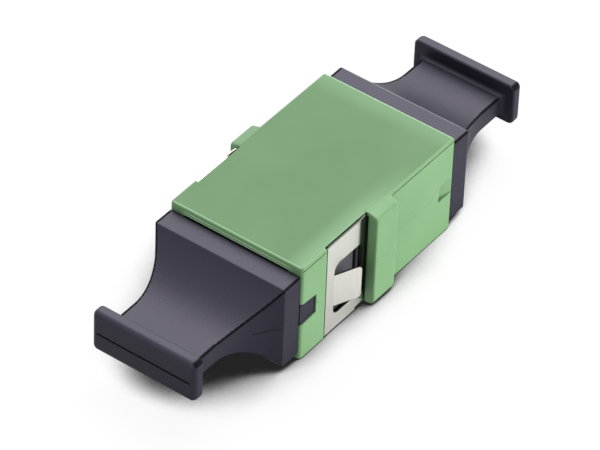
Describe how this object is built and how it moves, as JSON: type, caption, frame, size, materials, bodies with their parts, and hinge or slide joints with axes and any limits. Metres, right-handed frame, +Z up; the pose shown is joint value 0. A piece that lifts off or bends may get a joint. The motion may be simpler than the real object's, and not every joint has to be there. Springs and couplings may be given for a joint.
{
  "type": "fiber optic coupler",
  "caption": "Rectangular feed-through coupler for two flat multi-fibre plugs, with a sprung panel clip, inner latch arms and a pull-off dust cap in each port.",
  "frame": {"origin": "centre of the flat bottom of the housing, midway between the two end faces", "axes": "+Z up from the flat bottom, Y along the ports with the panel clip on the -Y half, X across the width"},
  "size_m": [0.0148, 0.0428, 0.0094],
  "materials": {
    "green_moulding": "satin moulded green plastic",
    "spring_steel": "rolled stainless spring steel sheet",
    "black_moulding": "satin moulded black plastic",
    "cap_moulding": "fine-textured soft black plastic"
  },
  "bodies": {
    "adapter": {"housing": "green_moulding", "panel_clip": "spring_steel", "front_latch_insert": "black_moulding", "rear_latch_insert": "black_moulding"},
    "front_cap": {"front_dust_cap": "cap_moulding"},
    "rear_cap": {"rear_dust_cap": "cap_moulding"}
  },
  "joints": [
    {"name": "front_cap_pull", "type": "slide", "parent": "adapter", "child": "front_cap", "axis": [0, -1, 0], "range_m": [0, 0.015]},
    {"name": "rear_cap_pull", "type": "slide", "parent": "adapter", "child": "rear_cap", "axis": [0, 1, 0], "range_m": [0, 0.015]}
  ]
}
